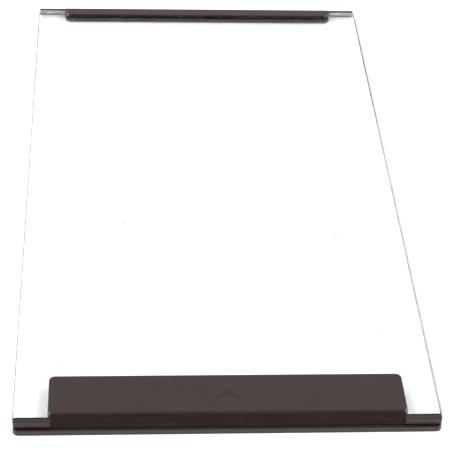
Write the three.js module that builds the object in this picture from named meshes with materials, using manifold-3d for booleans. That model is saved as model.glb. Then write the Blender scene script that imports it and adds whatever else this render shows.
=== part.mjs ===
// Glass sheet-film negative carrier: two panes in moulded end rails, hinged along the far end.
// Millimetres. +X right, +Y away from the finger grip towards the hinge, +Z up.
// The base underside is Z = 0, and lengths along Y start at the front face of the grip's lip.

import * as THREE from 'three';
import { mergeVertices } from 'three/addons/utils/BufferGeometryUtils.js';
import Module from 'manifold-3d';

const wasm = await Module();
wasm.setup();

// Panes
const PANE_WIDTH = 240;
const PANE_LENGTH = 427;
const PANE_THICKNESS = 3;
const PANE_CORNER_RADIUS = 1.2;
const PANE_ARRIS = 0.4;
const FILM_GAP = 0.2;

// What the panes and rails share
const RAIL_WIDTH = 239;
const JAW_WIDTH = 200.8;
const EDGE_GAP = 0.6;
const RUNNING_GAP = 0.3;
const BOND_GAP = 0.05;
const WALL_DROP = 0.1;
const TAPE_THICKNESS = 0.3;
const TAPE_INSET = 5;

// Heights of the stack, from the base underside up
const LOWER_PANE_BOTTOM = 1.5;
const LOWER_PANE_TOP = LOWER_PANE_BOTTOM + PANE_THICKNESS;
const UPPER_PANE_BOTTOM = LOWER_PANE_TOP + FILM_GAP;
const UPPER_PANE_TOP = UPPER_PANE_BOTTOM + PANE_THICKNESS;
const BASE_WALL_TOP = LOWER_PANE_TOP - WALL_DROP;
const LID_WALL_BOTTOM = BASE_WALL_TOP + RUNNING_GAP;

// Front rails: the grip on the lid, and the ledge under it on the base
const WALL_BACK = 3.0;
const SKIRT_BOTTOM = 3.4;
const SKIRT_THICKNESS = 1.8;
const LIP_CORNER_RADIUS = 0.8;
const GRIP_TOP = 10.5;
const GRIP_BACK = 33.8;
const GRIP_CORNER_RADIUS = 3.5;
const FINGER_LEAN = THREE.MathUtils.degToRad(28);
const FINGER_CORNER_RADIUS = 2.4;
const FINGER_END_INSET = 1.4;
const LEDGE_REACH = 2.5;
const LEDGE_HEIGHT = SKIRT_BOTTOM - RUNNING_GAP;
const LEDGE_CORNER_RADIUS = 3;
const FRONT_SHELF_BACK = 30.5;

// Rear rails
const PANE_FRONT = WALL_BACK + EDGE_GAP;
const PANE_BACK = PANE_FRONT + PANE_LENGTH;
const REAR_WALL_FRONT = PANE_BACK + EDGE_GAP;
const REAR_WALL_THICKNESS = 2.1;
const REAR_FACE = REAR_WALL_FRONT + REAR_WALL_THICKNESS;
const REAR_CORNER_RADIUS = 1.7;
const REAR_JAW_DEPTH = 11.5;
const REAR_JAW_TOP = 9.5;
const REAR_JAW_SETBACK = 2.6;
const REAR_JAW_HEEL = 7.9;
const REAR_SHELF_DEPTH = 12.2;
const REAR_TAPE_FRONT = -9.5;
const REAR_TAPE_BACK = -4;
const JAW_CORNER_RADIUS = 5;

// Rubber shims between the pane ends and the walls
const SHIM_LENGTH = 16;
const SHIM_HEIGHT = 2.4;
const SHIM_OFFSET = 60;

// Hinge: two stations of three knuckles, each turning on one steel pin
const HINGE_STATION = 75;
const HINGE_SETBACK = 2.0;
const HINGE_HEIGHT = (BASE_WALL_TOP + LID_WALL_BOTTOM) / 2;
const KNUCKLE_RADIUS = 1.7;
const KNUCKLE_LENGTH = 10;
const WEB_ROOT = 0.8;
const WEB_HALF_HEIGHT = 1.5;
const PIN_RADIUS = 0.7;
const PIN_CLEARANCE = 0.05;
const PIN_END = 0.25;
const OPEN_ANGLE = THREE.MathUtils.degToRad(100);
const STOP_CLEARANCE = 0.05;
const STOP_ROOT = 0.9;
const STOP_START = -0.3;
const STOP_REACH = 1.6;
const STOP_DRAFT = 0.2;

// Generic raised mark on the grip: nested chevrons that point the way the lid lifts
const MARK_HEIGHT = 0.2;
const MARK_SPAN = 16;
const MARK_RISE = 3;
const MARK_STROKE = 1.1;
const MARK_PITCH = 2.6;
const MARK_COUNT = 3;

const CURVE_SEGMENTS = 6;
const ROUND_SEGMENTS = 32;
const CUT = 20;

const plastic = { color: 0x3a302e, roughness: 0.28, metalness: 0 };
const clearGlass = { color: 0xe9f2ee, roughness: 0.02, metalness: 0, transparent: true, opacity: 0.35 };
const bondTape = { color: 0xd9d6cc, roughness: 0.8, metalness: 0 };
const shimRubber = { color: 0x1c1c1c, roughness: 0.75, metalness: 0 };
const pinSteel = { color: 0xb4b6b8, roughness: 0.3, metalness: 1 };

// A closed triangle mesh as a solid that can be joined and cut.
function toSolid(geometry) {
  geometry.deleteAttribute('normal');
  geometry.deleteAttribute('uv');
  const welded = mergeVertices(geometry, 1e-4);
  const vertProperties = new Float32Array(welded.attributes.position.array);
  const triVerts = new Uint32Array(welded.index.array);
  return new wasm.Manifold(new wasm.Mesh({ numProp: 3, vertProperties, triVerts }));
}

function toGeometry(solid) {
  const mesh = solid.getMesh();
  const geometry = new THREE.BufferGeometry();
  geometry.setAttribute('position', new THREE.BufferAttribute(new Float32Array(mesh.vertProperties), 3));
  geometry.setIndex(new THREE.BufferAttribute(new Uint32Array(mesh.triVerts), 1));
  geometry.computeVertexNormals();
  return geometry;
}

// A box from two spans on each axis.
function blockGeometry([left, right], [front, back], [bottom, top]) {
  const geometry = new THREE.BoxGeometry(right - left, back - front, top - bottom);
  return geometry.translate((left + right) / 2, (front + back) / 2, (bottom + top) / 2);
}

function block(xSpan, ySpan, zSpan) {
  return toSolid(blockGeometry(xSpan, ySpan, zSpan));
}

// A plan outline, symmetrical about X = 0, whose front and back corners are round, or square at radius 0.
function planOutline(width, front, back, frontRadius, backRadius) {
  const side = width / 2;
  const quarter = Math.PI / 2;
  const corners = [
    [side, front, frontRadius],
    [side, back, backRadius],
    [-side, back, backRadius],
    [-side, front, frontRadius],
  ];
  const outline = new THREE.Shape();
  corners.forEach(([x, y, radius], index) => {
    const turned = (index - 1) * quarter;
    const inX = x - Math.sign(x) * radius;
    const inY = y + (y === front ? radius : -radius);
    if (radius > 0) {
      outline.absarc(inX, inY, radius, turned, turned + quarter);
    } else if (index === 0) {
      outline.moveTo(x, y);
    } else {
      outline.lineTo(x, y);
    }
  });
  return outline;
}

// A plan outline raised from bottom to top.
function slab(outline, bottom, top) {
  const options = { depth: top - bottom, bevelEnabled: false, curveSegments: CURVE_SEGMENTS };
  return toSolid(new THREE.ExtrudeGeometry(outline, options).translate(0, 0, bottom));
}

// A Y-Z section, given as [y, z] corners, run along X.
function rail(corners, left, right) {
  const section = new THREE.Shape(corners.map(([y, z]) => new THREE.Vector2(y, z)));
  const geometry = new THREE.ExtrudeGeometry(section, { depth: right - left, bevelEnabled: false });
  const [alongX, alongY, alongZ] = [0, 1, 2].map((axis) => new THREE.Vector3().setComponent(axis, 1));
  const turn = new THREE.Matrix4().makeBasis(alongY, alongZ, alongX);
  return toSolid(geometry.applyMatrix4(turn).translate(left, 0, 0));
}

// A round bar on the hinge line. Like the rear rails, it is made with Y = 0 on the rails' rear face.
function hingeRoundGeometry(radius, left, right) {
  const geometry = new THREE.CylinderGeometry(radius, radius, right - left, ROUND_SEGMENTS);
  return geometry.rotateZ(-Math.PI / 2).translate((left + right) / 2, HINGE_SETBACK, HINGE_HEIGHT);
}

function hingeRound(radius, left, right) {
  return toSolid(hingeRoundGeometry(radius, left, right));
}

// One knuckle with the web that ties it to a rail's rear face.
function knuckle(left, webSpan) {
  const right = left + KNUCKLE_LENGTH;
  const barrel = hingeRound(KNUCKLE_RADIUS, left, right);
  return barrel.add(block([left, right], [-WEB_ROOT, HINGE_SETBACK], webSpan));
}

// The heel on a lid knuckle whose flat lands on the base's rear face when the lid is fully open.
function openingStop(left) {
  const lean = OPEN_ANGLE - Math.PI;
  const outward = new THREE.Vector2(Math.cos(lean), Math.sin(lean));
  const along = new THREE.Vector2(-outward.y, outward.x);
  const face = HINGE_SETBACK - STOP_CLEARANCE;
  const corner = (reach, run) => [
    HINGE_SETBACK + outward.x * reach + along.x * run,
    HINGE_HEIGHT + outward.y * reach + along.y * run,
  ];
  const corners = [
    corner(STOP_ROOT, STOP_START),
    corner(face, STOP_START),
    corner(face, STOP_REACH),
    corner(STOP_ROOT, STOP_REACH - STOP_DRAFT),
  ];
  return rail(corners, left, left + KNUCKLE_LENGTH);
}

// The plan of a bonding tape and of the recess that it lies in.
function tapeSpans(front, back) {
  const side = JAW_WIDTH / 2 - TAPE_INSET;
  return [[-side, side], [front, back]];
}

const FRONT_TAPE = tapeSpans(WALL_BACK + TAPE_INSET, FRONT_SHELF_BACK - TAPE_INSET);
const REAR_TAPE = tapeSpans(REAR_TAPE_FRONT, REAR_TAPE_BACK);
const LOWER_TAPE_HEIGHTS = [LOWER_PANE_BOTTOM - TAPE_THICKNESS, LOWER_PANE_BOTTOM];
const UPPER_TAPE_HEIGHTS = [UPPER_PANE_TOP, UPPER_PANE_TOP + TAPE_THICKNESS];
const SHELF_TOP = LOWER_PANE_BOTTOM - BOND_GAP;
const JAW_UNDERSIDE = UPPER_PANE_TOP + BOND_GAP;
const FULL_SPAN = [-PANE_WIDTH, PANE_WIDTH];

const KNUCKLE_PITCH = KNUCKLE_LENGTH + RUNNING_GAP;
const HINGE_STATIONS = [-HINGE_STATION, HINGE_STATION];

function frontBaseRail() {
  const side = RAIL_WIDTH / 2;
  const ledgePlan = planOutline(RAIL_WIDTH, -LEDGE_REACH, WALL_BACK, LEDGE_CORNER_RADIUS, 0);
  const shelfPlan = planOutline(JAW_WIDTH, 0, FRONT_SHELF_BACK, 0, GRIP_CORNER_RADIUS);
  const wallFront = SKIRT_THICKNESS + RUNNING_GAP;
  return slab(ledgePlan, 0, LEDGE_HEIGHT)
    .add(block([-side, side], [wallFront, WALL_BACK], [0, BASE_WALL_TOP]))
    .add(slab(shelfPlan, 0, SHELF_TOP).subtract(block(FULL_SPAN, [-CUT, wallFront], [0, CUT])))
    .subtract(block(...FRONT_TAPE, [LOWER_TAPE_HEIGHTS[0], CUT]));
}

// The grip's body: upright at the back, with its front leaning back from the skirt as the finger face.
function gripBody() {
  const slope = Math.tan(FINGER_LEAN);
  const plan = planOutline(JAW_WIDTH, 0, GRIP_BACK, FINGER_CORNER_RADIUS, GRIP_CORNER_RADIUS);
  const options = { depth: GRIP_TOP - SKIRT_BOTTOM, bevelEnabled: false, curveSegments: CURVE_SEGMENTS };
  const geometry = new THREE.ExtrudeGeometry(plan, options);
  const points = geometry.attributes.position;
  for (let index = 0; index < points.count; index += 1) {
    const y = points.getY(index);
    if (y < GRIP_BACK / 2) {
      points.setY(index, y + slope * points.getZ(index));
    }
  }
  return toSolid(geometry.translate(0, 0, SKIRT_BOTTOM));
}

function frontGrip() {
  const lipPlan = planOutline(RAIL_WIDTH, 0, CUT, LIP_CORNER_RADIUS, 0);
  const fingerSide = JAW_WIDTH / 2 - FINGER_END_INSET;
  const lip = slab(lipPlan, SKIRT_BOTTOM, UPPER_PANE_TOP)
    .subtract(block([-fingerSide, fingerSide], [-CUT, CUT], [0, CUT]));

  let grip = gripBody().add(lip)
    .subtract(block(FULL_SPAN, [WALL_BACK, CUT + GRIP_BACK], [0, JAW_UNDERSIDE]))
    .subtract(block(FULL_SPAN, [SKIRT_THICKNESS, CUT], [0, LID_WALL_BOTTOM + BOND_GAP]))
    .subtract(block(...FRONT_TAPE, [0, UPPER_TAPE_HEIGHTS[1]]));
  for (let index = 0; index < MARK_COUNT; index += 1) {
    grip = grip.add(chevron(index));
  }
  return grip;
}

// One chevron of the raised mark, with its point towards the hinge.
function chevron(index) {
  const side = MARK_SPAN / 2 * (1 - index / (MARK_COUNT + 1));
  const rise = MARK_RISE * side / (MARK_SPAN / 2);
  const coverFront = Math.tan(FINGER_LEAN) * (GRIP_TOP - SKIRT_BOTTOM);
  const centre = (coverFront + GRIP_BACK) / 2;
  const foot = centre + (index - (MARK_COUNT - 1) / 2) * MARK_PITCH - MARK_RISE / 2;
  const corners = [
    [-side, foot],
    [0, foot + rise],
    [side, foot],
    [side, foot + MARK_STROKE],
    [0, foot + rise + MARK_STROKE],
    [-side, foot + MARK_STROKE],
  ];
  const outline = new THREE.Shape(corners.map(([x, y]) => new THREE.Vector2(x, y)));
  return slab(outline, GRIP_TOP - MARK_HEIGHT, GRIP_TOP + MARK_HEIGHT);
}

function rearWall(bottom, top) {
  const plan = planOutline(RAIL_WIDTH, -REAR_WALL_THICKNESS, 0, 0, REAR_CORNER_RADIUS);
  return slab(plan, bottom, top);
}

// Bores the hinge line out of a rail at both stations.
function boreHinge(solid) {
  const halfStation = KNUCKLE_PITCH + KNUCKLE_LENGTH;
  let bored = solid;
  for (const station of HINGE_STATIONS) {
    const bore = hingeRound(PIN_RADIUS + PIN_CLEARANCE, station - halfStation, station + halfStation);
    bored = bored.subtract(bore);
  }
  return bored;
}

function rearBaseRail() {
  const shelfPlan = planOutline(JAW_WIDTH, -REAR_SHELF_DEPTH, -REAR_WALL_THICKNESS / 2, JAW_CORNER_RADIUS, 0);
  const webSpan = [HINGE_HEIGHT - WEB_HALF_HEIGHT, BASE_WALL_TOP - BOND_GAP];
  let solid = rearWall(0, BASE_WALL_TOP)
    .add(slab(shelfPlan, 0, SHELF_TOP))
    .subtract(block(...REAR_TAPE, [LOWER_TAPE_HEIGHTS[0], CUT]));
  for (const station of HINGE_STATIONS) {
    for (const shift of [-KNUCKLE_PITCH, KNUCKLE_PITCH]) {
      solid = solid.add(knuckle(station + shift - KNUCKLE_LENGTH / 2, webSpan));
    }
  }
  return boreHinge(solid);
}

function rearLidRail() {
  const section = [
    [-REAR_JAW_DEPTH, JAW_UNDERSIDE],
    [-REAR_WALL_THICKNESS, JAW_UNDERSIDE],
    [-REAR_WALL_THICKNESS, LID_WALL_BOTTOM],
    [0, LID_WALL_BOTTOM],
    [0, REAR_JAW_HEEL],
    [-REAR_JAW_SETBACK, REAR_JAW_TOP],
    [-REAR_JAW_DEPTH, REAR_JAW_TOP],
  ];
  const jawPlan = planOutline(JAW_WIDTH, -REAR_JAW_DEPTH, CUT, JAW_CORNER_RADIUS, 0);
  const webSpan = [LID_WALL_BOTTOM + BOND_GAP, HINGE_HEIGHT + WEB_HALF_HEIGHT];
  let solid = rail(section, -JAW_WIDTH / 2, JAW_WIDTH / 2)
    .intersect(slab(jawPlan, 0, CUT))
    .add(rearWall(LID_WALL_BOTTOM, UPPER_PANE_TOP))
    .subtract(block(...REAR_TAPE, [0, UPPER_TAPE_HEIGHTS[1]]));
  for (const station of HINGE_STATIONS) {
    const left = station - KNUCKLE_LENGTH / 2;
    solid = solid.add(knuckle(left, webSpan)).add(openingStop(left));
  }
  return boreHinge(solid);
}

// A pane with its four long and short edges lightly ground.
function pane() {
  const outline = planOutline(PANE_WIDTH, 0, PANE_LENGTH, PANE_CORNER_RADIUS, PANE_CORNER_RADIUS);
  const geometry = new THREE.ExtrudeGeometry(outline, {
    depth: PANE_THICKNESS - 2 * PANE_ARRIS,
    bevelEnabled: true,
    bevelSegments: 1,
    bevelSize: PANE_ARRIS,
    bevelThickness: PANE_ARRIS,
    bevelOffset: -PANE_ARRIS,
    curveSegments: CURVE_SEGMENTS,
  });
  return geometry.translate(0, 0, PANE_ARRIS);
}

// How far the stop heel stands behind the hinge line with the lid shut.
function hingeReach() {
  const lean = OPEN_ANGLE - Math.PI;
  return Math.cos(lean) * (HINGE_SETBACK - STOP_CLEARANCE) - Math.sin(lean) * STOP_REACH;
}

const overall = { front: -LEDGE_REACH, back: REAR_FACE + HINGE_SETBACK + hingeReach() };
const carrier = new THREE.Group();
carrier.position.y = -(overall.front + overall.back) / 2;

function addPiece(name, geometry, finish, yPlace = 0, zPlace = 0) {
  const mesh = new THREE.Mesh(geometry, new THREE.MeshStandardMaterial(finish));
  mesh.name = name;
  mesh.position.set(0, yPlace, zPlace);
  carrier.add(mesh);
}

addPiece('lower_glass', pane(), clearGlass, PANE_FRONT, LOWER_PANE_BOTTOM);
addPiece('upper_glass', pane(), clearGlass, PANE_FRONT, UPPER_PANE_BOTTOM);
addPiece('front_base_rail', toGeometry(frontBaseRail()), plastic);
addPiece('rear_base_rail', toGeometry(rearBaseRail()), plastic, REAR_FACE);
addPiece('front_grip', toGeometry(frontGrip()), plastic);
addPiece('rear_lid_rail', toGeometry(rearLidRail()), plastic, REAR_FACE);

addPiece('front_base_tape', blockGeometry(...FRONT_TAPE, LOWER_TAPE_HEIGHTS), bondTape);
addPiece('rear_base_tape', blockGeometry(...REAR_TAPE, LOWER_TAPE_HEIGHTS), bondTape, REAR_FACE);
addPiece('front_lid_tape', blockGeometry(...FRONT_TAPE, UPPER_TAPE_HEIGHTS), bondTape);
addPiece('rear_lid_tape', blockGeometry(...REAR_TAPE, UPPER_TAPE_HEIGHTS), bondTape, REAR_FACE);

const PANE_LEVELS = { base: LOWER_PANE_BOTTOM, lid: UPPER_PANE_BOTTOM };
const SHIM_ENDS = { front: [WALL_BACK, PANE_FRONT], rear: [PANE_BACK, REAR_WALL_FRONT] };
const SIDES = { left: -1, right: 1 };

for (const [half, paneBottom] of Object.entries(PANE_LEVELS)) {
  for (const [end, ySpan] of Object.entries(SHIM_ENDS)) {
    for (const [side, sign] of Object.entries(SIDES)) {
      const xSpan = [-1, 1].map((reach) => sign * SHIM_OFFSET + reach * SHIM_LENGTH / 2);
      const margin = (PANE_THICKNESS - SHIM_HEIGHT) / 2;
      const zSpan = [paneBottom + margin, paneBottom + margin + SHIM_HEIGHT];
      addPiece(`${half}_shim_${end}_${side}`, blockGeometry(xSpan, ySpan, zSpan), shimRubber);
    }
  }
}

for (const [side, sign] of Object.entries(SIDES)) {
  const reach = KNUCKLE_PITCH + KNUCKLE_LENGTH / 2 + PIN_END;
  const centre = sign * HINGE_STATION;
  const pin = hingeRoundGeometry(PIN_RADIUS, centre - reach, centre + reach);
  addPiece(`hinge_pin_${side}`, pin, pinSteel, REAR_FACE);
}

export default carrier;
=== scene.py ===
"""The looks of the glass negative carrier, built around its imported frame.

Lengths are in millimetres unless a comment says metres, and MM turns them into metres.
"""

import math
import random

import bmesh
import bpy
from mathutils import Matrix, Vector


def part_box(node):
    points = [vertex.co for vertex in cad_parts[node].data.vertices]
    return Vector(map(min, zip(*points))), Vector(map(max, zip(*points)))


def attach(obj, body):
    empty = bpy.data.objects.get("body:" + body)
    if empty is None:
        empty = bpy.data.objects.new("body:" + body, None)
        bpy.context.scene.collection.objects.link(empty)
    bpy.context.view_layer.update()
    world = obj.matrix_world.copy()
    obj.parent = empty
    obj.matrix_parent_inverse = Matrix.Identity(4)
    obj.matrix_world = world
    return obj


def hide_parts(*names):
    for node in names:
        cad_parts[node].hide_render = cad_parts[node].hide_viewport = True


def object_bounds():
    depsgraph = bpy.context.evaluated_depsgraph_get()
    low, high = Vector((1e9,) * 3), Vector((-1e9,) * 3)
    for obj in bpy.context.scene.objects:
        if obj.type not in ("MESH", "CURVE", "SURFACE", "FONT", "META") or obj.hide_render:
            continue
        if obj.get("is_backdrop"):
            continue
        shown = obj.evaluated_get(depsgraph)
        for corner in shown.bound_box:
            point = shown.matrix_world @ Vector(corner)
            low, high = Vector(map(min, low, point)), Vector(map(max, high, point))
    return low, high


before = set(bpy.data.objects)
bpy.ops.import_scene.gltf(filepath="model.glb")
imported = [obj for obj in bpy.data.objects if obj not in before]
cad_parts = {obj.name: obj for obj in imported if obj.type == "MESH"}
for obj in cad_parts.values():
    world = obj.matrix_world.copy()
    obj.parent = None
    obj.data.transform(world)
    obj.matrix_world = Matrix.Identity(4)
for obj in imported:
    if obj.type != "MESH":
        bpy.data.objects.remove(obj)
cad_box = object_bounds()

MM = 0.001

# ---------------------------------------------------------------- places from the frame, in metres

PANE_LOW, PANE_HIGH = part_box("upper_glass")
GRIP_LOW, GRIP_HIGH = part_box("front_grip")
LEDGE_LOW, LEDGE_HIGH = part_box("front_base_rail")
REAR_BASE_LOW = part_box("rear_base_rail")[0]
REAR_LID_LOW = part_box("rear_lid_rail")[0]
PIN_LOW, PIN_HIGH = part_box("hinge_pin_right")

# ---------------------------------------------------------------- sizes shared with the CAD

JAW_WIDTH = 200.8
BOND_GAP = 0.05
EDGE_GAP = 0.6

LIP_CORNER = 0.8
FINGER_LEAN = math.radians(28)
FINGER_CORNER = 2.4
FINGER_END = 1.4
GRIP_CORNER = 3.5
SKIRT_THICKNESS = 1.8
WALL_BACK = 3.0
LID_WALL_BOTTOM = 4.7
MARK_HEIGHT = 0.2

LEDGE_HEIGHT = 3.1
LEDGE_CORNER = 3.0
SHELF_TOP = 1.45
BASE_WALL_FRONT = 2.1

REAR_WALL = 2.1
REAR_CORNER = 1.7
REAR_JAW_SETBACK = 2.6
REAR_JAW_HEEL = 7.9
REAR_JAW_TOP = 9.5
JAW_CORNER = 5.0

KNUCKLE_RADIUS = 1.7
KNUCKLE_LENGTH = 10
KNUCKLE_GAP = 0.3
HINGE_STATION = 75
PIN_BORE = 0.75
WEB_HALF_HEIGHT = 1.5
STOP_ANGLE = math.radians(100)
STOP_FACE = 1.95
STOP_ROOT = 0.9
STOP_START = -0.3
STOP_REACH = 1.6
STOP_DRAFT = 0.2

# ---------------------------------------------------------------- moulded drafts and edge radii

LIP_DRAFT = math.radians(4)
LIP_END_DRAFT = math.radians(14)
LEDGE_DRAFT = math.radians(13)

GRIP_FRONT_ROUND = 1.7
GRIP_RIM_ROUND = 0.8
GRIP_FOOT_ROUND = 0.12
JAW_FRONT_ROUND = 1.4
JAW_RIM_ROUND = 0.5
CREST_ROUND = 0.3
WALL_ROUND = 0.2
REAR_LIP_ROUND = 0.25
REAR_SHELF_ROUND = 0.6
MARK_ROUND = 0.12
WEB_ROUND = 0.1
STOP_ROUND = 0.08
KNUCKLE_ROUND = 0.2
BORE_ROUND = 0.01

# ---------------------------------------------------------------- how far joined solids run on

FAR = 400
RECESS_RUN_ON = 1
LIP_RUN_ON = 2
REBATE_RUN_ON = 1
JAW_ROOT = 1
MARK_ROOT = 0.5
SHELF_ROOT = 0.5
WALL_INSET = 0.1
WEB_ROOT = 0.8
WEB_INSET = 0.15
WEB_TOP_GAP = 0.05

# ---------------------------------------------------------------- levels and planes of the frame

# Lengths along Y are counted from the front plane or from the rear plane.
FRONT_PLANE = GRIP_LOW.y / MM
REAR_PLANE = PANE_HIGH.y / MM + EDGE_GAP + REAR_WALL
RAIL_WIDTH = (GRIP_HIGH.x - GRIP_LOW.x) / MM
SKIRT_BOTTOM = GRIP_LOW.z / MM
GRIP_TOP = GRIP_HIGH.z / MM - MARK_HEIGHT
GRIP_BACK = (GRIP_HIGH.y - GRIP_LOW.y) / MM
LIP_TOP = PANE_HIGH.z / MM
JAW_UNDERSIDE = LIP_TOP + BOND_GAP
HINGE_Y = (PIN_LOW.y + PIN_HIGH.y) / 2 / MM
HINGE_Z = (PIN_LOW.z + PIN_HIGH.z) / 2 / MM
BASE_WALL_TOP = HINGE_Z - KNUCKLE_GAP / 2

# ---------------------------------------------------------------- mesh settings

SMOOTH_ANGLE = math.radians(32)
CORNER_ANGLE = math.radians(40)
RIM_ANGLE = math.radians(20)
SAME_HEIGHT = 1e-4
SAME_RIM_HEIGHT = 1e-3
SHORTEST_EDGE_M = 1e-6
BARREL_STEPS = 48

# ---------------------------------------------------------------- finishes

# Colours are linear red, green and blue.
BROWN_DEEP, BROWN_WORN = (0.0155, 0.0070, 0.0058), (0.0187, 0.0083, 0.0068)
GLASS_CLEAR = (0.986, 0.989, 0.988)
# The arris colour is near black: painted shade that draws the dark lines along the glass edges.
GLASS_GROUND, GLASS_ARRIS_PAINTED_SHADE = (0.93, 0.935, 0.932), (0.05, 0.055, 0.052)
TAPE_SHADE, TAPE_LIGHT = (0.62, 0.60, 0.54), (0.80, 0.78, 0.72)
RUBBER_BLACK, RUBBER_BLOOM = (0.012, 0.012, 0.012), (0.035, 0.034, 0.033)
STEEL_SHADE, STEEL_LIGHT = (0.48, 0.49, 0.50), (0.66, 0.67, 0.68)
DUST_SHADE, DUST_LIGHT = (0.07, 0.06, 0.05), (0.16, 0.14, 0.12)
PAPER_SHADE, PAPER_LIGHT = (0.86, 0.86, 0.86), (0.88, 0.88, 0.88)

# Roughness ranges.
PLASTIC_GLOSS, PLASTIC_GRAIN, PLASTIC_SATIN = (0.22, 0.29), (-0.015, 0.015), (0.0, 0.24)
GLASS_GRIND = (0.10, 0.20)
RUBBER_MATTE = (0.6, 0.85)
STEEL_DRAWN = (0.22, 0.38)

# Parts of a noise pattern's values that its marks are drawn from.
NOISE_CORE = (0.3, 0.7)
MOTTLE_CORE = (0.35, 0.65)
RUB_CORE = (0.45, 0.75)

# ---------------------------------------------------------------- the studio

# Strengths of the surroundings, and the headings over which each one comes in.
ROOM_IN_FRONT, ROOM_BEHIND = 0.15, 0.76
ROOM_TURN = (-0.9, 0.75)
SIDE_WALLS = 6.6
SIDE_WALLS_TURN = (0.40, 0.70)
LOW_SIDE_SHARE = 0.02
SIDE_WALLS_RISE = (0.35, 0.7)

SOFTBOX_POWER_W = 6
SOFTBOX_ASIDE_M, SOFTBOX_BACK_M, SOFTBOX_UP_M = 1.5, 0.1, 0.9
SOFTBOX_SIZE_M = (1.0, 1.6)

LIGHT_BOUNCES = 32
GLOSSY_BOUNCES = 16


# ---------------------------------------------------------------- mesh helpers

def outline(width, front, back, front_radius, back_radius, steps):
    """A plan outline, anticlockwise, with round corners (square at radius 0)."""
    side = width / 2
    corners = [
        (side, front, front_radius, -90),
        (side, back, back_radius, 0),
        (-side, back, back_radius, 90),
        (-side, front, front_radius, 180),
    ]
    points = []
    for x, y, radius, start in corners:
        if not radius:
            points.append((x, y))
            continue
        centre_x = x - math.copysign(radius, x)
        centre_y = y + (radius if y == front else -radius)
        for step in range(steps + 1):
            angle = math.radians(start + 90 * step / steps)
            points.append(
                (centre_x + radius * math.cos(angle), centre_y + radius * math.sin(angle)))
    return points


def forward(points):
    """Moves an outline counted from the front plane into the frame."""
    return [(x, y + FRONT_PLANE) for x, y in points]


def rearward(points):
    """Moves an outline counted from the rear plane into the frame."""
    return [(x, y + REAR_PLANE) for x, y in points]


def band(form, near, far):
    """The faces between two rings of vertices."""
    for index in range(len(near)):
        after = (index + 1) % len(near)
        form.faces.new((near[index], near[after], far[after], far[index]))


def closed_body(form, near, far):
    """A body between two rings of points, closed at both ends."""
    near = [form.verts.new(point) for point in near]
    far = [form.verts.new(point) for point in far]
    form.faces.new(near)
    form.faces.new(far)
    band(form, near, far)


def link(name, data):
    made = bpy.data.objects.new(name, data)
    bpy.context.scene.collection.objects.link(made)
    return made


def shade(piece):
    """Smooth shading that stops at sharp edges."""
    piece.data.shade_smooth()
    piece.data.set_sharp_from_angle(angle=SMOOTH_ANGLE)
    return piece


def smooth_object(name, form):
    """Turns a form in millimetres into a shaded object in metres."""
    bmesh.ops.recalc_face_normals(form, faces=form.faces)
    mesh = bpy.data.meshes.new(name)
    form.to_mesh(mesh)
    form.free()
    mesh.transform(Matrix.Scale(MM, 4))
    return shade(link(name, mesh))


def is_upright(edge):
    """Whether an edge is steeper than 30 degrees."""
    across = edge.verts[0].co - edge.verts[1].co
    return abs(across.z) > 0.5 * across.length


def level_edges(form, height):
    """The outer edges at one height."""
    return [
        edge for edge in form.edges
        if all(abs(vert.co.z - height) < SAME_HEIGHT for vert in edge.verts)
        and edge.calc_face_angle() > RIM_ANGLE
    ]


def round_edges(form, edges, radius):
    """Rounds a form's edges to one radius."""
    bmesh.ops.bevel(
        form, geom=edges, offset=radius, offset_type="OFFSET", segments=4,
        profile=0.5, affect="EDGES", clamp_overlap=True,
    )


def prism(name, points, bottom, top, top_round=0, foot_round=0, corner_round=0, lean=0):
    """An upright slab of a plan outline. lean is the slope at which its front leans back."""
    form = bmesh.new()
    closed_body(form, [(x, y, bottom) for x, y in points], [(x, y, top) for x, y in points])
    if lean:
        front = min(y for _, y in points)
        middle = (front + max(y for _, y in points)) / 2
        for vert in form.verts:
            share = 2 * (middle - vert.co.y) / (middle - front)
            vert.co.y += lean * (vert.co.z - bottom) * min(1, max(0, share))
    bmesh.ops.recalc_face_normals(form, faces=form.faces)
    if corner_round:
        corners = [
            edge for edge in form.edges
            if is_upright(edge) and edge.calc_face_angle() > CORNER_ANGLE
        ]
        round_edges(form, corners, corner_round)
    if top_round:
        round_edges(form, level_edges(form, top), top_round)
    if foot_round:
        round_edges(form, level_edges(form, bottom), foot_round)
    return smooth_object(name, form)


def section_bar(name, section, left, right, edge_round):
    """A section in the Y-Z plane run along X, with rounded edges."""
    form = bmesh.new()
    closed_body(form, [(left, y, z) for y, z in section], [(right, y, z) for y, z in section])
    bmesh.ops.recalc_face_normals(form, faces=form.faces)
    round_edges(form, form.edges[:], edge_round)
    return smooth_object(name, form)


def hinge_barrel(name, radius, left, right, end_round):
    """A round bar along the hinge line with rounded rims."""
    form = bmesh.new()
    profile = [
        (left, radius - end_round),
        (left + end_round, radius),
        (right - end_round, radius),
        (right, radius - end_round),
    ]
    turns = [2 * math.pi * step / BARREL_STEPS for step in range(BARREL_STEPS)]
    rings = [
        [
            form.verts.new((x, HINGE_Y + reach * math.cos(turn), HINGE_Z + reach * math.sin(turn)))
            for turn in turns
        ]
        for x, reach in profile
    ]
    for near, far in zip(rings, rings[1:]):
        band(form, near, far)
    form.faces.new(rings[0])
    form.faces.new(rings[-1])
    return smooth_object(name, form)


def box_cutter(*spans):
    """A box over three spans, along X, Y and Z."""
    form = bmesh.new()
    bmesh.ops.create_cube(form, size=1)
    size = Vector(high - low for low, high in spans)
    middle = Vector((high + low) / 2 for low, high in spans)
    for vert in form.verts:
        vert.co = Vector(a * b for a, b in zip(vert.co, size)) + middle
    return smooth_object("cutter", form)


def apply_modifiers(piece):
    """Makes the result of a piece's modifiers its mesh."""
    graph = bpy.context.evaluated_depsgraph_get()
    made = bpy.data.meshes.new_from_object(piece.evaluated_get(graph))
    piece.modifiers.clear()
    piece.data = made


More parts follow.
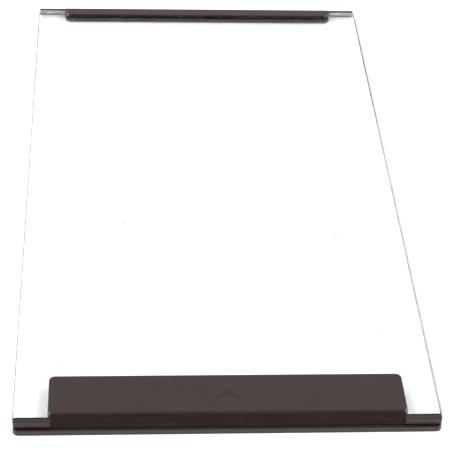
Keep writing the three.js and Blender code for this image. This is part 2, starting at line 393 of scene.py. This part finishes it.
def combine(piece, tool, operation):
    """Joins a tool to a piece (UNION) or cuts it out (DIFFERENCE), and removes the tool."""
    step = piece.modifiers.new("step", "BOOLEAN")
    step.operation = operation
    step.solver = "EXACT"
    step.object = tool
    apply_modifiers(piece)
    bpy.data.objects.remove(tool)


def round_rim(piece, height, middle, front_radius, rim_radius):
    """Rounds the rim of a slab's top: widely along the front, closely on the other sides."""
    mesh = piece.data
    weights = mesh.attributes.new("bevel_weight_edge", "FLOAT", "EDGE")
    for edge in mesh.edges:
        ends = [mesh.vertices[index].co for index in edge.vertices]
        if all(abs(end.z / MM - height) < SAME_RIM_HEIGHT for end in ends):
            across = (ends[0] - ends[1]).normalized()
            forward_share = abs(across.x) if ends[0].y / MM < middle else 0
            radius = rim_radius + (front_radius - rim_radius) * forward_share
            weights.data[edge.index].value = radius / front_radius
    step = piece.modifiers.new("rim", "BEVEL")
    step.limit_method = "WEIGHT"
    step.width = front_radius * MM
    step.segments = 7
    apply_modifiers(piece)


def cut_tape_recess(piece, tape, below):
    """Cuts the recess that a bonding tape lies in, on the side of the piece next to the pane."""
    low, high = (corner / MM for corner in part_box(tape))
    depth = (low.z - RECESS_RUN_ON, high.z) if below else (low.z, high.z + RECESS_RUN_ON)
    combine(piece, box_cutter((low.x, high.x), (low.y, high.y), depth), "DIFFERENCE")


def finish_piece(piece, name, body, node, material):
    """Cleans and shades a finished moulding, and puts it in the place of its CAD node."""
    piece.name = name
    form = bmesh.new()
    form.from_mesh(piece.data)
    bmesh.ops.dissolve_degenerate(form, dist=SHORTEST_EDGE_M, edges=form.edges[:])
    form.to_mesh(piece.data)
    form.free()
    shade(piece)
    weighted = piece.modifiers.new("weighted", "WEIGHTED_NORMAL")
    weighted.keep_sharp = True
    piece.data.materials.clear()
    piece.data.materials.append(material)
    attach(piece, body)
    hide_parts(node)


# ---------------------------------------------------------------- node helpers

class Nodes:
    """A node tree with short ways to add and join nodes."""

    def __init__(self, tree):
        self.tree = tree

    def add(self, kind, **settings):
        """Adds a node. A setting is one of its properties, or the value of an input."""
        node = self.tree.nodes.new(kind)
        for key, value in settings.items():
            if hasattr(node, key):
                setattr(node, key, value)
            else:
                node.inputs[key.replace("_", " ")].default_value = value
        return node

    def join(self, output, socket):
        self.tree.links.new(output, socket)

    def axis(self, vector, name):
        """One of a vector's three parts."""
        parts = self.add("ShaderNodeSeparateXYZ")
        self.join(vector, parts.inputs["Vector"])
        return parts.outputs[name]

    def maths(self, operation, *values):
        node = self.add("ShaderNodeMath", operation=operation)
        for socket, value in zip(node.inputs, values):
            if isinstance(value, (int, float)):
                socket.default_value = value
            else:
                self.join(value, socket)
        return node.outputs["Value"]

    def spread(self, value, source, target, curve="LINEAR"):
        """Maps the source range onto the target range, and holds it at the ends."""
        node = self.add("ShaderNodeMapRange", interpolation_type=curve)
        self.join(value, node.inputs["Value"])
        for end, source_end, target_end in zip(("Min", "Max"), source, target):
            node.inputs["From " + end].default_value = source_end
            node.inputs["To " + end].default_value = target_end
        return node.outputs["Result"]


class Finish(Nodes):
    """A material with one shader, patterned in the object's own space."""

    def __init__(self, name):
        self.material = bpy.data.materials.new(name)
        self.material.use_nodes = True
        super().__init__(self.material.node_tree)
        self.shader = self.tree.nodes["Principled BSDF"]
        self.place = self.add("ShaderNodeTexCoord").outputs["Object"]

    def set(self, **values):
        """Gives shader inputs plain values."""
        for key, value in values.items():
            self.shader.inputs[key.replace("_", " ")].default_value = value

    def feed(self, **outputs):
        """Gives shader inputs the results of other nodes."""
        for key, output in outputs.items():
            self.join(output, self.shader.inputs[key.replace("_", " ")])

    def levelness(self):
        """1 on level faces of the object, 0 on its upright ones."""
        normal = self.add("ShaderNodeTexCoord").outputs["Normal"]
        return self.maths("ABSOLUTE", self.axis(normal, "Z"))

    def noise(self, scale, detail, roughness=0.5, stretch=None):
        """A noise pattern of so many lumps per metre, with its space scaled by stretch."""
        place = self.place
        if stretch:
            mapping = self.add("ShaderNodeMapping", Scale=stretch)
            self.join(place, mapping.inputs["Vector"])
            place = mapping.outputs["Vector"]
        node = self.add("ShaderNodeTexNoise", Scale=scale, Detail=detail, Roughness=roughness)
        self.join(place, node.inputs["Vector"])
        return node.outputs["Fac"]

    def blend(self, factor, first, second):
        """Mixes two colours by a factor. The second one may be another node's result."""
        node = self.add("ShaderNodeMix", data_type="RGBA")
        self.join(factor, node.inputs["Factor"])
        node.inputs["A"].default_value = (*first, 1)
        if isinstance(second, tuple):
            node.inputs["B"].default_value = (*second, 1)
        else:
            self.join(second, node.inputs["B"])
        return next(socket for socket in node.outputs if socket.type == "RGBA")

    def bump(self, height, strength, depth_m):
        node = self.add("ShaderNodeBump", Strength=strength, Distance=depth_m)
        self.join(height, node.inputs["Height"])
        self.feed(Normal=node.outputs["Normal"])


# ---------------------------------------------------------------- materials

def make_plastic():
    """Dark brown moulding, glossy on top and satin on its sides, faintly mottled and rubbed."""
    n = Finish("brown_moulding")
    mottle = n.noise(60, 4)
    grain = n.noise(2600, 2)
    rub = n.noise(160, 5, 0.6, stretch=(0.25, 3.0, 3.0))
    rubbed = n.spread(rub, RUB_CORE, PLASTIC_GLOSS)
    gloss = n.maths("ADD", rubbed, n.spread(grain, NOISE_CORE, PLASTIC_GRAIN))
    satin = n.spread(n.levelness(), (0.3, 0.1), PLASTIC_SATIN)
    n.feed(
        Base_Color=n.blend(n.spread(mottle, MOTTLE_CORE, (0, 1)), BROWN_DEEP, BROWN_WORN),
        Roughness=n.maths("ADD", gloss, satin),
    )
    n.set(IOR=1.58)
    n.bump(n.maths("ADD", grain, n.maths("MULTIPLY", mottle, 3.0)), 0.04, 0.00004)
    return n.material


def make_glass():
    """Clear float glass, polished on its faces, with finely ground edges, and arrises coloured
    near black as painted shade for the dark lines along the glass edges.
    """
    n = Finish("clear_pane")
    level = n.levelness()
    edge = n.spread(level, (0.99, 0.95), (0, 1))
    # Tilted faces get the near-black arris colour, which is painted shade along the glass edges.
    # The ground edge faces keep a near-clear tone.
    ground_edge_and_arris_shade = n.blend(n.spread(level, (0.3, 0.6), (0, 1)), GLASS_GROUND, GLASS_ARRIS_PAINTED_SHADE)
    grind = n.spread(n.noise(3000, 3), NOISE_CORE, GLASS_GRIND)
    n.feed(
        Base_Color=n.blend(edge, GLASS_CLEAR, ground_edge_and_arris_shade),
        Roughness=n.maths("MULTIPLY", edge, grind),
        Transmission_Weight=n.spread(edge, (0, 1), (1.0, 0.85)),
    )
    n.set(IOR=1.5)
    return n.material


def make_tape():
    """Off-white bonding tape with a fine paper grain."""
    n = Finish("bond_tape")
    fibre = n.noise(900, 4, 0.6, stretch=(0.3, 1.0, 1.0))
    n.feed(Base_Color=n.blend(fibre, TAPE_SHADE, TAPE_LIGHT))
    n.set(Roughness=0.75)
    n.bump(fibre, 0.2, 0.00003)
    return n.material


def make_rubber():
    """Matte black rubber with a dusty bloom."""
    n = Finish("shim_rubber")
    bloom = n.noise(700, 4)
    n.feed(
        Base_Color=n.blend(bloom, RUBBER_BLACK, RUBBER_BLOOM),
        Roughness=n.spread(bloom, NOISE_CORE, RUBBER_MATTE),
    )
    n.bump(bloom, 0.3, 0.00004)
    return n.material


def make_steel():
    """Drawn steel wire, with fine marks along its length."""
    n = Finish("pin_steel")
    drawn = n.noise(3000, 3, 0.6, stretch=(0.05, 1.0, 1.0))
    n.feed(
        Base_Color=n.blend(drawn, STEEL_SHADE, STEEL_LIGHT),
        Roughness=n.spread(drawn, NOISE_CORE, STEEL_DRAWN),
    )
    n.set(Metallic=1.0)
    return n.material


def make_plain(name, lumps, shade_colour, light_colour):
    """A matte finish with a faint change of tone, for the dust and the floor."""
    n = Finish(name)
    n.feed(Base_Color=n.blend(n.noise(lumps, 2), shade_colour, light_colour))
    n.set(Roughness=0.9)
    return n.material


# ---------------------------------------------------------------- mouldings

def make_front_grip(material):
    """Cover plate with its leaning finger face, the lip's two ends, and the raised mark."""
    plan = forward(outline(JAW_WIDTH, 0, GRIP_BACK, FINGER_CORNER, GRIP_CORNER, steps=16))
    grip = prism(
        "grip", plan, SKIRT_BOTTOM, GRIP_TOP,
        foot_round=GRIP_FOOT_ROUND, lean=math.tan(FINGER_LEAN),
    )
    round_rim(grip, GRIP_TOP, FRONT_PLANE + GRIP_BACK / 2, GRIP_FRONT_ROUND, GRIP_RIM_ROUND)
    for side in (-1, 1):
        lip = prism(
            "lip", forward(lip_end(side)), SKIRT_BOTTOM, LIP_TOP,
            top_round=CREST_ROUND, foot_round=WALL_ROUND, lean=math.tan(LIP_DRAFT),
        )
        combine(grip, lip, "UNION")
    wide = (-FAR, FAR)
    pocket = (FRONT_PLANE + WALL_BACK, FRONT_PLANE + FAR)
    rebate = (FRONT_PLANE + SKIRT_THICKNESS, FRONT_PLANE + WALL_BACK + REBATE_RUN_ON)
    combine(grip, box_cutter(wide, pocket, (0, JAW_UNDERSIDE)), "DIFFERENCE")
    combine(grip, box_cutter(wide, rebate, (0, LID_WALL_BOTTOM + BOND_GAP)), "DIFFERENCE")
    cut_tape_recess(grip, "front_lid_tape", below=True)
    for mark in chevrons():
        combine(grip, mark, "UNION")
    finish_piece(grip, "front_grip_moulding", "lid", "front_grip", material)


def lip_end(side, steps=8):
    """The plan of the lip beside the grip's body, round at its outer front corner."""
    inner = side * (JAW_WIDTH / 2 - FINGER_END)
    outer = side * RAIL_WIDTH / 2
    back = WALL_BACK + LIP_RUN_ON
    turns = [math.radians(90 * step / steps) for step in range(steps + 1)]
    corner = [
        (outer - side * LIP_CORNER * (1 - math.sin(turn)), LIP_CORNER * (1 - math.cos(turn)))
        for turn in turns
    ]
    inner_back = inner - side * back * math.tan(LIP_END_DRAFT)
    return [(inner, 0), *corner, (outer, back), (inner_back, back)]


def chevrons(span=16.0, rise=3.0, stroke=1.1, pitch=2.6, count=3):
    """Nested chevrons that point towards the hinge, in the middle of the cover."""
    cover_front = math.tan(FINGER_LEAN) * (GRIP_TOP - SKIRT_BOTTOM)
    centre = FRONT_PLANE + (cover_front + GRIP_BACK) / 2
    for index in range(count):
        side = span / 2 * (1 - index / (count + 1))
        height = rise * side / (span / 2)
        foot = centre + (index - (count - 1) / 2) * pitch - rise / 2
        points = [
            (-side, foot), (0, foot + height), (side, foot),
            (side, foot + stroke), (0, foot + height + stroke), (-side, foot + stroke),
        ]
        bottom, top = GRIP_TOP - MARK_ROOT, GRIP_TOP + MARK_HEIGHT
        yield prism("mark", points, bottom, top, top_round=MARK_ROUND)


def make_front_base_rail(material):
    """Ledge under the grip, the wall behind its skirt, and the shelf under the lower pane."""
    reach = (GRIP_LOW.y - LEDGE_LOW.y) / MM
    ledge = forward(outline(RAIL_WIDTH, -reach, WALL_BACK, LEDGE_CORNER, 0, steps=12))
    rail = prism(
        "rail", ledge, 0, LEDGE_HEIGHT,
        top_round=CREST_ROUND, foot_round=CREST_ROUND, lean=math.tan(LEDGE_DRAFT),
    )
    side = RAIL_WIDTH / 2
    wall_front = [(-side, BASE_WALL_FRONT), (side, BASE_WALL_FRONT)]
    wall = forward([*wall_front, (side, WALL_BACK), (-side, WALL_BACK)])
    combine(rail, prism("wall", wall, WALL_INSET, BASE_WALL_TOP, top_round=WALL_ROUND), "UNION")
    shelf_back = (LEDGE_HIGH.y - GRIP_LOW.y) / MM
    shelf_front = BASE_WALL_FRONT + WALL_INSET
    shelf = forward(outline(JAW_WIDTH, shelf_front, shelf_back, 0, GRIP_CORNER, steps=12))
    add_shelf(rail, shelf, CREST_ROUND)
    cut_tape_recess(rail, "front_base_tape", below=False)
    finish_piece(rail, "front_base_moulding", "base", "front_base_rail", material)


def add_shelf(rail, plan, top_round):
    """The shelf that the lower pane is bonded to."""
    shelf = prism("shelf", plan, 0, SHELF_TOP, top_round=top_round, foot_round=WALL_ROUND)
    combine(rail, shelf, "UNION")


def rear_wall(bottom, top, top_round):
    """The wall across the hinge end of the base or of the lid."""
    plan = rearward(outline(RAIL_WIDTH, -REAR_WALL, 0, 0, REAR_CORNER, steps=8))
    return prism(
        "rail", plan, bottom, top,
        top_round=top_round, foot_round=WALL_ROUND, corner_round=WALL_ROUND,
    )


def knuckle_lefts(middle):
    """The left ends of the knuckles: the middle ones are the lid's, the outer ones the base's."""
    pitch = KNUCKLE_LENGTH + KNUCKLE_GAP
    for station in (-HINGE_STATION, HINGE_STATION):
        for shift in ((0,) if middle else (-pitch, pitch)):
            yield station + shift - KNUCKLE_LENGTH / 2


def add_knuckle(rail, left, low, high):
    """A knuckle and the web that ties it to the rail's rear face."""
    right = left + KNUCKLE_LENGTH
    knuckle = hinge_barrel("knuckle", KNUCKLE_RADIUS, left, right, KNUCKLE_ROUND)
    combine(rail, knuckle, "UNION")
    root = REAR_PLANE - WEB_ROOT
    section = [(root, low), (HINGE_Y, low), (HINGE_Y, high), (root, high)]
    web = section_bar("web", section, left + WEB_INSET, right - WEB_INSET, WEB_ROUND)
    combine(rail, web, "UNION")


def add_stop(rail, left):
    """The heel whose flat lands on the base when the lid is fully open."""
    lean = STOP_ANGLE - math.pi
    outward = Vector((math.cos(lean), math.sin(lean)))
    along = Vector((-outward.y, outward.x))
    centre = Vector((HINGE_Y, HINGE_Z))
    corners = [
        (STOP_ROOT, STOP_START),
        (STOP_FACE, STOP_START),
        (STOP_FACE, STOP_REACH),
        (STOP_ROOT, STOP_REACH - STOP_DRAFT),
    ]
    section = [tuple(centre + outward * reach + along * run) for reach, run in corners]
    right = left + KNUCKLE_LENGTH
    heel = section_bar("heel", section, left + WEB_INSET, right - WEB_INSET, STOP_ROUND)
    combine(rail, heel, "UNION")


def bore_hinge(rail):
    """Bores a rail's knuckles for the two pins."""
    reach = 2 * KNUCKLE_LENGTH
    for station in (-HINGE_STATION, HINGE_STATION):
        bore = hinge_barrel("bore", PIN_BORE, station - reach, station + reach, BORE_ROUND)
        combine(rail, bore, "DIFFERENCE")


def make_rear_base_rail(material):
    """Wall behind the lower pane, its shelf, and the outer knuckles."""
    rail = rear_wall(0, BASE_WALL_TOP, WALL_ROUND)
    depth = REAR_PLANE - REAR_BASE_LOW.y / MM
    shelf = rearward(outline(JAW_WIDTH, -depth, -SHELF_ROOT, JAW_CORNER, 0, steps=12))
    add_shelf(rail, shelf, REAR_SHELF_ROUND)
    cut_tape_recess(rail, "rear_base_tape", below=False)
    for left in knuckle_lefts(middle=False):
        add_knuckle(rail, left, HINGE_Z - WEB_HALF_HEIGHT, BASE_WALL_TOP - WEB_TOP_GAP)
    bore_hinge(rail)
    finish_piece(rail, "rear_base_moulding", "base", "rear_base_rail", material)


def make_jaw(depth):
    """The jaw over the pane: bull-nosed in front, and sloping down to the wall behind."""
    plan = rearward(outline(JAW_WIDTH, -depth, -BOND_GAP, JAW_CORNER, 0, steps=16))
    jaw = prism("jaw", plan, LIP_TOP - JAW_ROOT, REAR_JAW_TOP)
    form = bmesh.new()
    form.from_mesh(jaw.data)
    slope_foot = Vector((0, REAR_PLANE, REAR_JAW_HEEL)) * MM
    slope_normal = Vector((0, REAR_JAW_TOP - REAR_JAW_HEEL, REAR_JAW_SETBACK)).normalized()
    bmesh.ops.bisect_plane(
        form, geom=form.verts[:] + form.edges[:] + form.faces[:],
        plane_co=slope_foot, plane_no=slope_normal, clear_outer=True,
    )
    bmesh.ops.holes_fill(form, edges=form.edges[:])
    form.to_mesh(jaw.data)
    form.free()
    round_rim(jaw, REAR_JAW_TOP, REAR_PLANE - depth / 2, JAW_FRONT_ROUND, JAW_RIM_ROUND)
    return jaw


def make_rear_lid_rail(material):
    """Wall behind the upper pane, the jaw over it, the middle knuckles and their stops."""
    rail = rear_wall(LID_WALL_BOTTOM, LIP_TOP, REAR_LIP_ROUND)
    combine(rail, make_jaw(REAR_PLANE - REAR_LID_LOW.y / MM), "UNION")
    pane_side = (REAR_PLANE - FAR, REAR_PLANE - REAR_WALL)
    combine(rail, box_cutter((-FAR, FAR), pane_side, (0, JAW_UNDERSIDE)), "DIFFERENCE")
    cut_tape_recess(rail, "rear_lid_tape", below=True)
    for left in knuckle_lefts(middle=True):
        add_knuckle(rail, left, LID_WALL_BOTTOM + WEB_TOP_GAP, HINGE_Z + WEB_HALF_HEIGHT)
        add_stop(rail, left)
    bore_hinge(rail)
    finish_piece(rail, "rear_lid_moulding", "lid", "rear_lid_rail", material)


# ---------------------------------------------------------------- dust on the glass

def make_dust_specks(material, corners=9, taper=0.6, flatness=0.8, foot=0.01, crest=0.09):
    """A few stray grains that lie on the upper pane."""
    # Each grain's place across the carrier and behind the front plane, and its radius.
    grains = [(-57, 174, 1.0), (77, 162, 1.0), (91, 70, 0.85), (-14, 182, 0.65), (29, 157, 0.65)]
    rng = random.Random(7)
    form = bmesh.new()
    for x, y, radius in grains:
        ring = []
        for corner in range(corners):
            turn = 2 * math.pi * corner / corners
            reach = radius * rng.uniform(0.6, 1.0)
            ring.append(
                (x + reach * math.cos(turn), y + FRONT_PLANE + flatness * reach * math.sin(turn)))
        low = [(px, py, LIP_TOP + foot) for px, py in ring]
        high = [(x + (px - x) * taper, py, LIP_TOP + crest) for px, py in ring]
        closed_body(form, low, high)
    specks = smooth_object("dust_specks", form)
    specks.data.materials.append(material)
    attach(specks, "lid")


# ---------------------------------------------------------------- stage, light and camera

def make_floor(material, width_m=60, drop_m=0.00005):
    bpy.ops.mesh.primitive_plane_add(size=width_m, location=(0, 0, -drop_m))
    floor = bpy.context.object
    floor.name = "floor"
    floor.data.materials.append(material)
    floor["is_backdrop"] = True


def make_world():
    """A white studio: wide bright walls on the left and right, and a darker room in front."""
    world = bpy.data.worlds.new("studio")
    bpy.context.scene.world = world
    world.use_nodes = True
    background = world.node_tree.nodes["Background"]
    background.inputs["Color"].default_value = (1.0, 1.0, 1.0, 1.0)
    n = Nodes(world.node_tree)
    heading = n.add("ShaderNodeTexCoord").outputs["Generated"]
    aside = n.maths("ABSOLUTE", n.axis(heading, "X"))

    def ease(value, source, target):
        return n.spread(value, source, target, curve="SMOOTHSTEP")

    room = ease(n.axis(heading, "Y"), ROOM_TURN, (ROOM_IN_FRONT, ROOM_BEHIND))
    walls = ease(aside, SIDE_WALLS_TURN, (0.0, SIDE_WALLS))
    raised = ease(n.axis(heading, "Z"), SIDE_WALLS_RISE, (LOW_SIDE_SHARE, 1.0))
    n.join(n.maths("MULTIPLY_ADD", walls, raised, room), background.inputs["Strength"])


def make_softbox(name, side):
    """A soft light on one side of the carrier, which it faces."""
    light = bpy.data.lights.new(name, "AREA")
    light.shape = "RECTANGLE"
    light.size, light.size_y = SOFTBOX_SIZE_M
    light.energy = SOFTBOX_POWER_W
    place = Vector((side * SOFTBOX_ASIDE_M, SOFTBOX_BACK_M, SOFTBOX_UP_M))
    holder = link(name, light)
    holder.location = place
    holder.rotation_euler = (-place).to_track_quat("-Z", "Y").to_euler()


def make_camera():
    """The camera stands in front, a little left of the middle, and looks along the carrier."""
    height = 640.3 * MM
    back_off = 620.5 * MM
    side_step = -63.1 * MM
    turn = math.radians(5.07)
    dip = math.radians(38.95)
    roll = math.radians(3.10)
    data = bpy.data.cameras.new("camera")
    data.lens = 127.8
    data.sensor_width = 36
    holder = link("camera", data)
    place = Vector((side_step, PANE_LOW.y - back_off, PANE_HIGH.z + height))
    aim = Vector((math.sin(turn) * math.cos(dip), math.cos(turn) * math.cos(dip), -math.sin(dip)))
    level = Vector((math.cos(turn), -math.sin(turn), 0))
    upward = level.cross(aim)
    right = level * math.cos(roll) + upward * math.sin(roll)
    up = right.cross(aim)
    turned = Matrix((right, up, -aim)).transposed().to_4x4()
    holder.matrix_world = Matrix.Translation(place) @ turned
    bpy.context.scene.camera = holder


def set_light_paths():
    """Lets light cross the many surfaces of the two panes without losing any on the way."""
    cycles = bpy.context.scene.cycles
    cycles.blur_glossy = 0.0
    cycles.max_bounces = LIGHT_BOUNCES
    cycles.transmission_bounces = LIGHT_BOUNCES
    cycles.glossy_bounces = GLOSSY_BOUNCES


# ---------------------------------------------------------------- the scene

bpy.context.scene.view_settings.view_transform = "Standard"
set_light_paths()
make_camera()

plastic = make_plastic()
make_front_grip(plastic)
make_front_base_rail(plastic)
make_rear_base_rail(plastic)
make_rear_lid_rail(plastic)
make_dust_specks(make_plain("dust", 4000, DUST_SHADE, DUST_LIGHT))

NODE_FINISHES = {
    "glass": make_glass(),
    "tape": make_tape(),
    "shim": make_rubber(),
    "pin": make_steel(),
}
for node_name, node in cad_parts.items():
    for word, finish in NODE_FINISHES.items():
        if word in node_name:
            node.data.materials.clear()
            node.data.materials.append(finish)

make_floor(make_plain("white_sweep", 8, PAPER_SHADE, PAPER_LIGHT))
make_world()
make_softbox("left_softbox", -1)
make_softbox("right_softbox", 1)

boxes = {"cad": cad_box, "visual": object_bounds()}
{key: [[round(c, 6) for c in corner] for corner in box] for key, box in boxes.items()}
